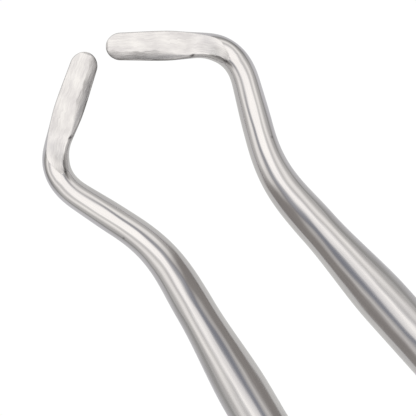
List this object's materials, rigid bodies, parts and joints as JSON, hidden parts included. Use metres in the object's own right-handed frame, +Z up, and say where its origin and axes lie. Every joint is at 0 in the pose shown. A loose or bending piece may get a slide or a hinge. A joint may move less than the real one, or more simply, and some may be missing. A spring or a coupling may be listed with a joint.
{
  "type": "dental elevator pair",
  "caption": "Left and right dental root elevators with flat round-nosed blades, double-bent shanks and octagonal steel handles, laid side by side as mirror images.",
  "frame": {"origin": "middle of the pair's footprint, on the surface that the handles rest on", "axes": "+X towards the tips along the line between the two elevators, +Y towards the left elevator, +Z up, out of the blades' ground faces"},
  "size_m": [0.1639, 0.0578, 0.012],
  "materials": {
    "blade_steel": "polished shank, fine lengthwise brushing on the blade",
    "handle_steel": "satin with turned ends",
    "hardware_steel": "plain turned",
    "seal_rubber": "matte"
  },
  "bodies": {
    "left_elevator": {"left_working_end": "blade_steel", "left_ferrule": "handle_steel", "left_ferrule_pin": "hardware_steel", "left_tang_sleeve": "hardware_steel", "left_lock_washer": "hardware_steel", "left_tang_nut": "hardware_steel", "left_handle_shell": "handle_steel", "left_end_cap": "handle_steel", "left_cap_seal": "seal_rubber"},
    "right_elevator": {"right_working_end": "blade_steel", "right_ferrule": "handle_steel", "right_ferrule_pin": "hardware_steel", "right_tang_sleeve": "hardware_steel", "right_lock_washer": "hardware_steel", "right_tang_nut": "hardware_steel", "right_handle_shell": "handle_steel", "right_end_cap": "handle_steel", "right_cap_seal": "seal_rubber"}
  },
  "joints": [
    {"name": "right_lift", "type": "slide", "parent": "left_elevator", "child": "right_elevator", "axis": [0, 0, 1], "range_m": [0, 0.1]}
  ]
}
